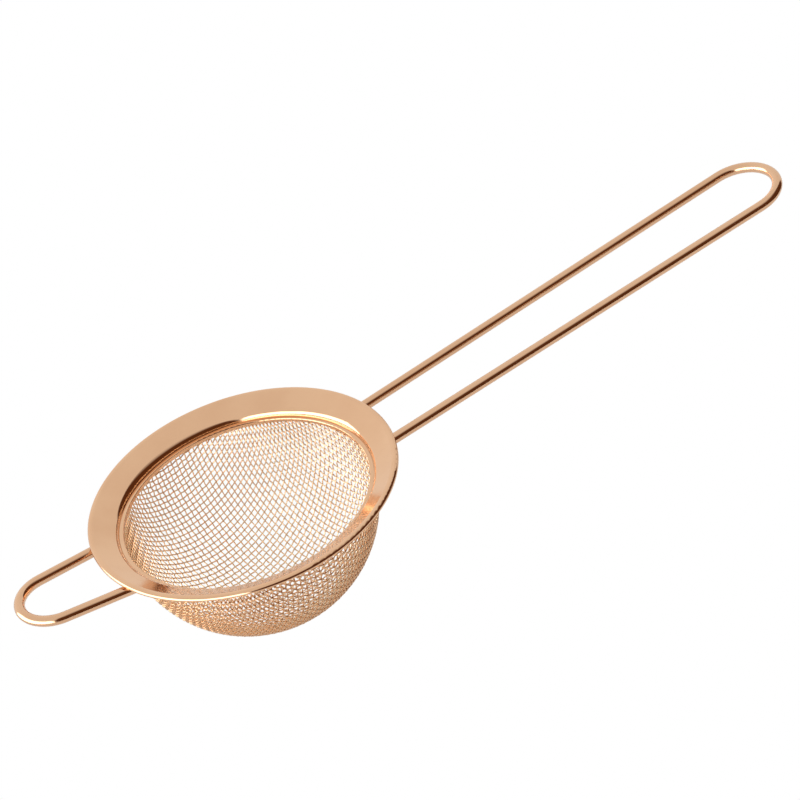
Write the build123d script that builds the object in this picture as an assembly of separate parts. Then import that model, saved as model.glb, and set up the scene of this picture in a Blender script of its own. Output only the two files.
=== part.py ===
from build123d import *
import math
import os

# Fine mesh bar strainer: a dished rim ring, a woven wire bowl clamped in its neck, a long wire
# loop for a handle and a short wire loop that hooks on the far lip of a glass or tin.
# Millimetres. The origin is the centre of the rim's top circle, +Z up along the bowl's axis,
# +X along the handle.

# Rim: one pressed sheet, with a turned-down outer lip, a dished flange and a short neck
rim_radius = 44.0
rim_sheet = 0.7
lip_height = 1.0
crown_width = 1.4           # flat top of the rim, between the lip and the dish
neck_radius = 36.2          # inside face of the neck
flange_drop = 3.3           # how far the dish falls from the rim's top to the neck
neck_bottom = -6.6
lip_bend = 0.8
crown_bend = 2.0
neck_bend = 2.4

# Clamp ring: a thin L-section hoop pressed into the neck over the cut edge of the mesh
clamp_top = -4.5
clamp_sheet = 0.4
clamp_height = 1.1
clamp_bend = 0.25

# Bowl: plain woven wire, here as the closed shell that its two layers of wire fill
mesh_thickness = 0.8
bowl_skirt = 1.0            # straight edge of the bowl, held between the neck and the clamp ring

# Wires
wire_diameter = 3.0
wire_end_round = 0.4
wire_bend = 6.0             # centreline radius where the handle's ends bend under the flange

# Handle: centreline half width at the rim, far circle, and its rise away from the bowl
handle_half_width = 9.8
handle_end_radius = 11.04
handle_reach = 168.0        # centre of the far circle
handle_height = -2.75       # centreline height at the rim's edge
handle_slope = 5.0
handle_foot_slope = 24.0    # slope of the ends that lie along the underside of the flange
handle_bend_x = 41.0
handle_foot_length = 3.6

# Rest loop, on the side away from the handle
rest_half_width = 11.07
rest_end_radius = 9.865
rest_reach = 58.14
rest_height = -3.3
rest_slope = 4.0
rest_foot_x = 38.3

# Welds between the wires and the underside of the flange
weld_length = 5.0
weld_width = 5.2
weld_height = 2.0
weld_forward = 1.0          # from the wire's end to the middle of the weld
weld_sink = 0.1             # how far the middle of the weld lies below the top of the wire

wire_radius = wire_diameter / 2
basket_radius = neck_radius
basket_inner_radius = basket_radius - mesh_thickness
basket_top = clamp_top - clamp_sheet


def sheet_ring():
    """The rim: the sheet's upper outline, thickened inwards and turned about the axis."""
    upper = FilletPolyline(
        (rim_radius, -lip_height),
        (rim_radius, 0),
        (rim_radius - crown_width, 0),
        (neck_radius, -flange_drop),
        (neck_radius, neck_bottom),
        radius=[lip_bend, crown_bend, neck_bend],
    )
    outline = offset(upper, amount=rim_sheet, side=Side.LEFT, kind=Kind.INTERSECTION, closed=True)
    section = Plane.XZ * make_face(outline)
    return revolve(section, axis=Axis.Z)


def clamp_ring():
    """The hoop that traps the mesh: a flat plate over its cut edge and a skirt inside it."""
    skirt_radius = basket_inner_radius - clamp_sheet
    outline = Polyline(
        (neck_radius, clamp_top),
        (skirt_radius, clamp_top),
        (skirt_radius, clamp_top - clamp_height),
        (basket_inner_radius, clamp_top - clamp_height),
        (basket_inner_radius, basket_top),
        (neck_radius, basket_top),
        close=True,
    )
    section = make_face(outline)
    bend = section.vertices().sort_by_distance((skirt_radius, clamp_top))[0]
    return revolve(Plane.XZ * fillet(bend, clamp_bend), axis=Axis.Z)


def mesh_basket():
    """A hemisphere with a short straight skirt that runs up into the neck."""
    centre = basket_top - bowl_skirt
    outline = Curve() + [
        Line((basket_inner_radius, basket_top), (basket_radius, basket_top)),
        Line((basket_radius, basket_top), (basket_radius, centre)),
        CenterArc((0, centre), basket_radius, start_angle=270, arc_size=90),
        Line((0, centre - basket_radius), (0, centre - basket_inner_radius)),
        CenterArc((0, centre), basket_inner_radius, start_angle=270, arc_size=90),
        Line((basket_inner_radius, centre), (basket_inner_radius, basket_top)),
    ]
    return revolve(Plane.XZ * make_face(outline), axis=Axis.Z)


def loop_plane(height, slope, direction):
    """The tilted plane of a wire loop: local X points away from the bowl, local Z up."""
    tilt = math.radians(slope)
    return Plane(
        origin=(direction * rim_radius, 0, height),
        x_dir=(direction * math.cos(tilt), 0, math.sin(tilt)),
        z_dir=(-direction * math.sin(tilt), 0, math.cos(tilt)),
    )


def loop_tangent(half_width, end_radius, reach):
    """Where a straight leg that starts at half_width meets the far circle, in the loop's plane."""
    centre = reach - rim_radius
    spread = math.asin(end_radius / math.hypot(centre, half_width)) - math.atan2(half_width, centre)
    tangent = (centre - end_radius * math.sin(spread), end_radius * math.cos(spread))
    return tangent, spread


def swept_wire(path):
    start = Plane(origin=path @ 0, z_dir=path % 0)
    wire = sweep(start * Circle(wire_radius), path=path)
    ends = wire.faces().filter_by(GeomType.PLANE).edges()
    return fillet(ends, wire_end_round)


def handle_points():
    """One leg of the handle: foot, bend under the rim, and where the far circle begins."""
    plane = loop_plane(handle_height, handle_slope, 1)
    (x, y), spread = loop_tangent(handle_half_width, handle_end_radius, handle_reach)
    back = (handle_bend_x - rim_radius) / math.cos(math.radians(handle_slope))
    bend = plane.from_local_coords((back, handle_half_width + back * math.tan(spread), 0))
    tangent = plane.from_local_coords((x, y, 0))
    foot_slope = math.radians(handle_foot_slope)
    foot = bend - Vector(math.cos(foot_slope), 0, math.sin(foot_slope)) * handle_foot_length
    tip = plane.from_local_coords((handle_reach - rim_radius + handle_end_radius, 0, 0))
    return foot, bend, tangent, tip


def mirrored(point):
    return Vector(point.X, -point.Y, point.Z)


def handle_wire():
    foot, bend, tangent, tip = handle_points()
    left = FilletPolyline(foot, bend, tangent, radius=wire_bend)
    end = ThreePointArc(tangent, tip, mirrored(tangent))
    right = FilletPolyline(mirrored(tangent), mirrored(bend), mirrored(foot), radius=wire_bend)
    return swept_wire(Wire(left.edges() + end.edges() + right.edges()))


def rest_points():
    """One leg of the rest loop: foot, where the far circle begins, and the far tip."""
    plane = loop_plane(rest_height, rest_slope, -1)
    (x, y), spread = loop_tangent(rest_half_width, rest_end_radius, rest_reach)
    back = (rest_foot_x - rim_radius) / math.cos(math.radians(rest_slope))
    foot = plane.from_local_coords((back, rest_half_width + back * math.tan(spread), 0))
    tangent = plane.from_local_coords((x, y, 0))
    tip = plane.from_local_coords((rest_reach - rim_radius + rest_end_radius, 0, 0))
    return foot, tangent, tip


def rest_loop_wire():
    foot, tangent, tip = rest_points()
    left = Line(foot, tangent)
    end = ThreePointArc(tangent, tip, mirrored(tangent))
    right = Line(mirrored(tangent), mirrored(foot))
    return swept_wire(Wire(left.edges() + end.edges() + right.edges()))


def weld(foot, along, slope, rim, wire):
    """A run of weld metal round a wire's foot, filling in to the flange and to the wire."""
    bead = scale(Sphere(0.5), by=(weld_length, weld_width, weld_height))
    tilted = Rot(0, -slope, 0) * bead
    centre = foot + along * weld_forward + Vector(0, 0, wire_radius - weld_sink)
    body = Pos(centre.X, centre.Y, centre.Z) * tilted - rim - wire
    return body.solids().sort_by(Axis.Z)[0]


def main():
    rim = sheet_ring()
    handle = handle_wire()
    rest = rest_loop_wire()
    handle_foot, handle_bend = handle_points()[:2]
    rest_foot = rest_points()[0]
    handle_along = (handle_bend - handle_foot).normalized()
    handle_weld = weld(handle_foot, handle_along, handle_foot_slope, rim, handle)
    rest_weld = weld(rest_foot, Vector(-1, 0, 0), -handle_foot_slope, rim, rest)
    parts = {
        "rim_flange": rim,
        "mesh_clamp_ring": clamp_ring(),
        "mesh_basket": mesh_basket(),
        "handle_wire": handle,
        "rest_loop_wire": rest,
        "handle_weld_left": handle_weld,
        "handle_weld_right": mirror(handle_weld, Plane.XZ),
        "rest_weld_left": rest_weld,
        "rest_weld_right": mirror(rest_weld, Plane.XZ),
    }
    os.makedirs("parts", exist_ok=True)
    for name, shape in parts.items():
        export_step(shape, "parts/" + name + ".step")


main()
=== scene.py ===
import math

import bpy
from mathutils import Matrix, Vector


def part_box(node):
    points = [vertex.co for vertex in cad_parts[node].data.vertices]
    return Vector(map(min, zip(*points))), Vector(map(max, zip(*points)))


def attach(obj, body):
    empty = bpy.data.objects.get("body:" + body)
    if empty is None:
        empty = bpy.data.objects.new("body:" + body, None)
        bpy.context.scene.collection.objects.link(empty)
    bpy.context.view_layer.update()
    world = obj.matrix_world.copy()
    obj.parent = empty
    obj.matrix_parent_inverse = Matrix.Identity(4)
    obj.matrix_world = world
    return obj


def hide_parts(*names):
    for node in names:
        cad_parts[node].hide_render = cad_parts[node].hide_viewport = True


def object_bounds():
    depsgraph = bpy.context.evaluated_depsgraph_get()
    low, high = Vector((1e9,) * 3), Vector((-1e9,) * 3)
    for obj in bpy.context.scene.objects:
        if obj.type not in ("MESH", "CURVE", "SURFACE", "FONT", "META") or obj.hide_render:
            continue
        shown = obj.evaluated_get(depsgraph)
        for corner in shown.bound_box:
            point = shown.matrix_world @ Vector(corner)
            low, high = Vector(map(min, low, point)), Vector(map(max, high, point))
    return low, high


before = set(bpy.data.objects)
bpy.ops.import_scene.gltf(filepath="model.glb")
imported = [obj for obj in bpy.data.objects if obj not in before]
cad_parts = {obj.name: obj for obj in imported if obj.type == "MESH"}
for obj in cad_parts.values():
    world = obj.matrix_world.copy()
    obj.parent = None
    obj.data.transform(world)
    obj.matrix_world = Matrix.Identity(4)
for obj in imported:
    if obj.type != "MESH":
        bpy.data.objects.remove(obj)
cad_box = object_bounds()
scene = bpy.context.scene

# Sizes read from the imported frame, in metres
MM = 0.001
rim_low, rim_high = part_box("rim_flange")
bowl_low, bowl_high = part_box("mesh_basket")
rim_radius = rim_high.x
bowl_radius = bowl_high.x
bowl_top = bowl_high.z
bowl_centre_z = bowl_low.z + bowl_radius

# Woven wire
mesh_wire = 0.40 * MM
mesh_pitch = 1.57 * MM
weave_turn = math.radians(13.5)     # direction of the warp, from the handle's direction
mesh_steps = 4                      # points per crossing along a wire
mesh_sides = 6                      # flat sides round a wire
weave_margin = 0.01 * MM            # keeps the outer wires just inside the bowl's shell
weave_reach = math.radians(93)      # how far the net spreads from the bowl's lowest point
weave_radius = bowl_radius - mesh_wire - weave_margin

# Camera: angles of view, distance and aim, with the rim's radius as the unit
camera_azimuth = math.radians(-18.0)
camera_elevation = math.radians(35.7)
camera_roll = math.radians(-17.8)
camera_distance = 16.0 * rim_radius
camera_aim_right = 0.982 * rim_radius
camera_aim_up = 0.543 * rim_radius
camera_lens = 116.4

floor_drop = 150 * MM               # from the bowl's lowest point down to the floor
floor_size = 1.4

# Studio: azimuths in degrees from the handle's direction, and how bright each part is
dome_bright_azimuth = 110
dome_dim = (0.77, 0.76, 0.75)
dome_bright = (0.87, 0.87, 0.87)
dark_side_azimuth = 308
dark_side_colour = (0.10, 0.038, 0.014)
strip_azimuth = 184
strip_colour = (3.4, 3.4, 3.4)


# ---------------------------------------------------------------- small node helpers

class Nodes:
    """Short names for adding and joining nodes in one tree."""

    def __init__(self, tree):
        self.tree = tree
        tree.nodes.clear()

    def add(self, kind, **values):
        node = self.tree.nodes.new(kind)
        for name, value in values.items():
            setattr(node, name, value)
        return node

    def join(self, out_socket, in_socket):
        self.tree.links.new(out_socket, in_socket)

    def multiply(self, first, second):
        node = self.add("ShaderNodeMath", operation="MULTIPLY")
        self.join(first, node.inputs[0])
        self.join(second, node.inputs[1])
        return node.outputs[0]

    def vector_math(self, operation, first, second=None):
        """The node for one step of vector arithmetic; second is a constant or another output."""
        node = self.add("ShaderNodeVectorMath", operation=operation)
        self.join(first, node.inputs[0])
        if isinstance(second, tuple):
            node.inputs[1].default_value = second
        elif second is not None:
            self.join(second, node.inputs[1])
        return node

    def noise(self, place, scale, detail):
        node = self.add("ShaderNodeTexNoise")
        node.inputs["Scale"].default_value = scale
        node.inputs["Detail"].default_value = detail
        self.join(place, node.inputs["Vector"])
        return node.outputs["Fac"]

    def range(self, value, low, high, to_low=0.0, to_high=1.0, smooth=True):
        node = self.add("ShaderNodeMapRange")
        node.interpolation_type = "SMOOTHSTEP" if smooth else "LINEAR"
        self.join(value, node.inputs["Value"])
        node.inputs["From Min"].default_value = low
        node.inputs["From Max"].default_value = high
        node.inputs["To Min"].default_value = to_low
        node.inputs["To Max"].default_value = to_high
        return node.outputs["Result"]

    def mix(self, factor, first, second):
        node = self.add("ShaderNodeMix", data_type="RGBA")
        self.join(factor, node.inputs["Factor"])
        for name, value in (("A", first), ("B", second)):
            socket = next(s for s in node.inputs if s.name == name and s.type == "RGBA")
            if isinstance(value, tuple):
                socket.default_value = (*value, 1.0)
            else:
                self.join(value, socket)
        return next(s for s in node.outputs if s.type == "RGBA")

    def white_to_camera(self, shader, kind):
        """The shader as the metal sees it, and plain white where the camera sees it directly."""
        white = self.add(kind)
        white.inputs["Color"].default_value = (1, 1, 1, 1)
        path = self.add("ShaderNodeLightPath")
        choose = self.add("ShaderNodeMixShader")
        self.join(path.outputs["Is Camera Ray"], choose.inputs["Fac"])
        self.join(shader, choose.inputs[1])
        self.join(white.outputs[0], choose.inputs[2])
        return choose.outputs["Shader"]


# ---------------------------------------------------------------- materials

def outward_painted_shade(n, place):
    """0 on faces that look in towards the bowl's centre, 1 on faces that look away from it; it masks the
    painted shade on the outer side of the woven wires.
    """
    reach = n.vector_math("SUBTRACT", place.outputs["Object"], (0.0, 0.0, bowl_centre_z))
    outward = n.vector_math("NORMALIZE", reach.outputs["Vector"])
    facing = n.vector_math("DOT_PRODUCT", outward.outputs["Vector"], place.outputs["Normal"])
    return n.range(facing.outputs["Value"], -0.3, 0.3)


def plated_copper(name, light, dark, roughness, grain_scale, bump=0.0, stretch=(1.0, 1.0, 1.0),
                  painted_shade_outside=None):
    """Polished plating: colour drifts between two tones, roughness varies with a fine grain.

    With an outward colour given, faces that look away from the bowl's centre take that colour, a darker copy
    of the metal that is painted shade.
    """
    material = bpy.data.materials.new(name)
    material.use_nodes = True
    n = Nodes(material.node_tree)
    output = n.add("ShaderNodeOutputMaterial")
    shader = n.add("ShaderNodeBsdfPrincipled")
    n.join(shader.outputs["BSDF"], output.inputs["Surface"])
    shader.inputs["Metallic"].default_value = 1.0
    place = n.add("ShaderNodeTexCoord")
    stretched = n.add("ShaderNodeMapping")
    stretched.inputs["Scale"].default_value = stretch
    n.join(place.outputs["Object"], stretched.inputs["Vector"])
    drift = n.noise(stretched.outputs["Vector"], tone_scale, 3.0)
    colour = n.mix(n.range(drift, 0.35, 0.65), dark, light)
    # painted shade: a darker colour on faces that look away from the bowl's centre
    if painted_shade_outside:
        colour = n.mix(outward_painted_shade(n, place), colour, painted_shade_outside)
    n.join(colour, shader.inputs["Base Color"])
    grain = n.noise(stretched.outputs["Vector"], grain_scale, 4.0)
    low, high = roughness
    n.join(n.range(grain, 0.3, 0.7, low, high), shader.inputs["Roughness"])
    if bump:
        relief = n.add("ShaderNodeBump")
        relief.inputs["Strength"].default_value = bump
        relief.inputs["Distance"].default_value = bump_depth
        n.join(grain, relief.inputs["Height"])
        n.join(relief.outputs["Normal"], shader.inputs["Normal"])
    return material


tone_scale = 60.0
bump_depth = 0.02 * MM
rim_copper = plated_copper(
    "rim_copper", (0.90, 0.57, 0.35), (0.86, 0.53, 0.32), (0.07, 0.12), 900.0)
wire_copper = plated_copper(
    "wire_copper", (0.88, 0.56, 0.35), (0.82, 0.50, 0.30), (0.10, 0.16), 1400.0,
    stretch=(0.15, 1.0, 1.0))
# Woven wire: lit and shaded copies of the copper. The cream tones are painted highlight, lifted above the
# copper's own colour, and the browner colour on faces that look away from the bowl's centre is painted
# shade.
mesh_copper = plated_copper(
    "mesh_copper", (0.98, 0.80, 0.57), (0.93, 0.71, 0.48), (0.05, 0.12), 2500.0,
    painted_shade_outside=(0.78, 0.47, 0.27))
weld_copper = plated_copper(
    "weld_copper", (0.80, 0.49, 0.29), (0.68, 0.38, 0.21), (0.28, 0.45), 3000.0, bump=0.6)


def paint(node, material):
    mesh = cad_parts[node].data
    mesh.materials.clear()
    mesh.materials.append(material)
    for face in mesh.polygons:
        face.material_index = 0


for node in ("rim_flange", "mesh_clamp_ring"):
    paint(node, rim_copper)
for node in ("handle_wire", "rest_loop_wire"):
    paint(node, wire_copper)
for node in ("handle_weld_left", "handle_weld_right", "rest_weld_left", "rest_weld_right"):
    paint(node, weld_copper)


# ---------------------------------------------------------------- woven bowl

def net_quadrant(count, step):
    """Unit directions of a flat weave pressed into a sphere: each cell keeps its four sides.

    Node (i, j) lies i wires along the warp and j along the weft from the bowl's lowest point.
    """
    net = [[None] * (count + 1) for _ in range(count + 1)]
    for i in range(count + 1):
        angle = i * step
        net[i][0] = Vector((math.sin(angle), 0, -math.cos(angle)))
        net[0][i] = Vector((0, math.sin(angle), -math.cos(angle)))
    for i in range(1, count + 1):
        for j in range(1, count + 1):
            beside, below, corner = net[i][j - 1], net[i - 1][j], net[i - 1][j - 1]
            normal = beside.cross(below).normalized()
            net[i][j] = corner - 2 * corner.dot(normal) * normal
    return net


def weave_direction(net, i, j):
    """The crossing (i, j) on the unit sphere, for either sign of i and j."""
    x, y, z = net[abs(i)][abs(j)]
    x = math.copysign(x, i) if i else x
    y = math.copysign(y, j) if j else y
    return Matrix.Rotation(weave_turn, 3, "Z") @ Vector((x, y, z))


def wire_line(directions, first_index, over):
    """Points along one wire, waved in and out over the wires that it crosses."""
    points = []
    for k in range(len(directions) - 1):
        start, end = directions[k], directions[k + 1]
        sign = over * (-1) ** (first_index + k)
        for step in range(mesh_steps):
            t = step / mesh_steps
            lift = sign * mesh_wire / 2 * math.cos(math.pi * t)
            out = start.lerp(end, t).normalized()
            points.append((out, out * (weave_radius + lift) + Vector((0, 0, bowl_centre_z))))
    return points


def clipped(points):
    """The stretches of a wire below the clamp ring, each cut off level with the bowl's top."""
    runs, run = [], []
    previous = None
    for out, point in points:
        inside = point.z <= bowl_top
        if previous is not None and inside != (previous[1].z <= bowl_top):
            share = (bowl_top - previous[1].z) / (point.z - previous[1].z)
            cut = previous[1].lerp(point, share)
            run.append((previous[0].lerp(out, share).normalized(), cut))
            if not inside:
                runs.append(run)
                run = []
        if inside:
            run.append((out, point))
        previous = (out, point)
    if run:
        runs.append(run)
    return [r for r in runs if len(r) >= 3]


def add_tube(vertices, faces, run):
    """A closed tube round one run of points, its sections set by the bowl's normal."""
    base = len(vertices)
    count = len(run)
    for k, (out, point) in enumerate(run):
        ahead = run[min(k + 1, count - 1)][1] - run[max(k - 1, 0)][1]
        side = ahead.cross(out).normalized()
        up = side.cross(ahead).normalized()
        for s in range(mesh_sides):
            angle = 2 * math.pi * (s + 0.5) / mesh_sides
            offset = side * math.cos(angle) + up * math.sin(angle)
            vertices.append(point + offset * mesh_wire / 2)
    for k in range(count - 1):
        for s in range(mesh_sides):
            a = base + k * mesh_sides + s
            b = base + k * mesh_sides + (s + 1) % mesh_sides
            faces.append((a, b, b + mesh_sides, a + mesh_sides))
    faces.append([base + s for s in reversed(range(mesh_sides))])
    faces.append([base + (count - 1) * mesh_sides + s for s in range(mesh_sides)])


def mesh_object(name, vertices, faces, material):
    mesh = bpy.data.meshes.new(name)
    mesh.from_pydata([tuple(v) for v in vertices], [], faces)
    mesh.materials.append(material)
    for face in mesh.polygons:
        face.use_smooth = True
    mesh.update()
    piece = bpy.data.objects.new(name, mesh)
    scene.collection.objects.link(piece)
    return piece


def woven_family(name, net, count, along_warp):
    """Every wire of one family, warp or weft, as one piece that stands for the bowl's shell."""
    vertices, faces = [], []
    over = 1 if along_warp else -1
    for j in range(-count, count + 1):
        ordered = range(-count, count + 1)
        if along_warp:
            directions = [weave_direction(net, i, j) for i in ordered]
        else:
            directions = [weave_direction(net, j, i) for i in ordered]
        for run in clipped(wire_line(directions, j, over)):
            add_tube(vertices, faces, run)
    piece = mesh_object(name, vertices, faces, mesh_copper)
    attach(piece, "root")
    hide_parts("mesh_basket")


net_step = mesh_pitch / weave_radius
net_count = math.ceil(weave_reach / net_step)
net = net_quadrant(net_count, net_step)
woven_family("mesh_warp_wires", net, net_count, True)
woven_family("mesh_weft_wires", net, net_count, False)


# ---------------------------------------------------------------- stage, light and camera

def pale_floor():
    """A plain pale square under the bowl."""
    height = cad_box[0].z - floor_drop
    half = floor_size / 2
    corners = [(-half, -half, height), (half, -half, height), (half, half, height), (-half, half, height)]
    material = bpy.data.materials.new("pale_floor")
    material.use_nodes = True
    n = Nodes(material.node_tree)
    output = n.add("ShaderNodeOutputMaterial")
    lit = n.add("ShaderNodeBsdfDiffuse")
    lit.inputs["Color"].default_value = (0.9, 0.9, 0.9, 1)
    n.join(n.white_to_camera(lit.outputs["BSDF"], "ShaderNodeEmission"), output.inputs["Surface"])
    floor = mesh_object("pale_floor", corners, [(0, 1, 2, 3)], material)


def studio_world():
    """A bright soft dome, a dark side and a low bright strip, which streak the polished metal."""
    world = bpy.data.worlds.new("studio")
    scene.world = world
    world.use_nodes = True
    n = Nodes(world.node_tree)
    output = n.add("ShaderNodeOutputWorld")
    place = n.add("ShaderNodeTexCoord")
    split = n.add("ShaderNodeSeparateXYZ")
    n.join(place.outputs["Generated"], split.inputs["Vector"])
    height = split.outputs["Z"]

    def facing(azimuth):
        """How closely each direction points to an azimuth: 1 along it, 0 square to it."""
        angle = math.radians(azimuth)
        towards = (math.cos(angle), math.sin(angle), 0.0)
        return n.vector_math("DOT_PRODUCT", place.outputs["Generated"], towards).outputs["Value"]

    brightening = n.range(facing(dome_bright_azimuth), 0.3, 0.95, smooth=False)
    dome = n.mix(brightening, dome_dim, dome_bright)
    dark_side = n.multiply(n.range(facing(dark_side_azimuth), 0.30, 0.40), n.range(height, 1.00, 0.62))
    strip = n.multiply(n.range(facing(strip_azimuth), 0.56, 0.62), n.range(height, 0.55, 0.45))
    light = n.mix(dark_side, dome, dark_side_colour)
    light = n.mix(strip, light, strip_colour)
    studio = n.add("ShaderNodeBackground")
    n.join(light, studio.inputs["Color"])
    n.join(n.white_to_camera(studio.outputs["Background"], "ShaderNodeBackground"), output.inputs["Surface"])


def make_camera():
    data = bpy.data.cameras.new("camera")
    camera = bpy.data.objects.new("camera", data)
    scene.collection.objects.link(camera)
    a, e, r = camera_azimuth, camera_elevation, camera_roll
    back = Vector((math.sin(a) * math.cos(e), -math.cos(a) * math.cos(e), math.sin(e)))
    level = Vector((math.cos(a), math.sin(a), 0))
    upward = back.cross(level)
    right = level * math.cos(r) + upward * math.sin(r)
    up = upward * math.cos(r) - level * math.sin(r)
    place = right * camera_aim_right + up * camera_aim_up + back * camera_distance
    turn = Matrix((right, up, back)).transposed().to_4x4()
    camera.matrix_world = Matrix.Translation(place) @ turn
    data.lens = camera_lens
    data.clip_start = 0.01
    data.clip_end = 50.0
    scene.camera = camera


pale_floor()
studio_world()
make_camera()
scene.view_settings.view_transform = "Standard"
